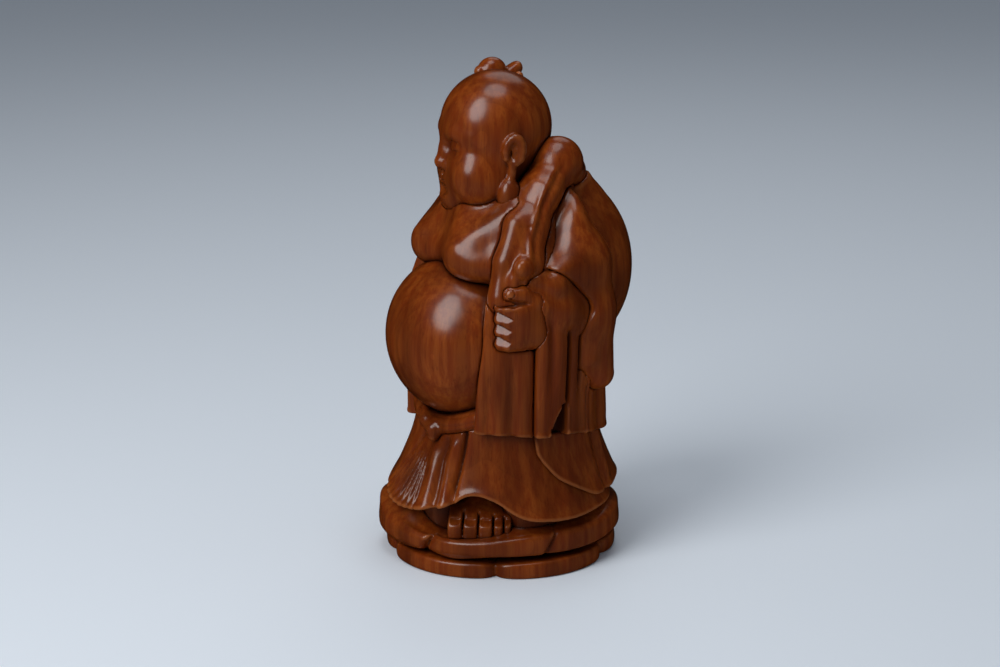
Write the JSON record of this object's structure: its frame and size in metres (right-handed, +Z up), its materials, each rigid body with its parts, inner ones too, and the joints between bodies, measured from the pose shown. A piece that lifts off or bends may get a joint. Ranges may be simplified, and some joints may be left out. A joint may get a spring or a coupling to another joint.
{
  "type": "carved wooden figure",
  "caption": "Carved and varnished wooden figure of a stout standing monk with a bare belly, a sack over one shoulder and a raised ingot, on a two-tier rock base.",
  "frame": {"origin": "middle of the figure's box, on the plane that the base stands on", "axes": "+Z up, the figure faces -Y and its own left hand is towards +X"},
  "size_m": [0.0926, 0.1052, 0.1998],
  "materials": {
    "varnished_wood": "brown stain under gloss varnish, darker in the cuts"
  },
  "bodies": {
    "root": {"base_lower_tier": "varnished_wood", "base_upper_tier": "varnished_wood", "left_foot": "varnished_wood", "right_foot": "varnished_wood", "skirt": "varnished_wood", "coat_tail": "varnished_wood", "coat": "varnished_wood", "belly": "varnished_wood", "chest": "varnished_wood", "belt_sash": "varnished_wood", "left_upper_arm": "varnished_wood", "left_sleeve": "varnished_wood", "left_hand": "varnished_wood", "sack_neck": "varnished_wood", "sack": "varnished_wood", "right_arm": "varnished_wood", "right_hand": "varnished_wood", "ingot": "varnished_wood", "head": "varnished_wood"}
  },
  "joints": []
}
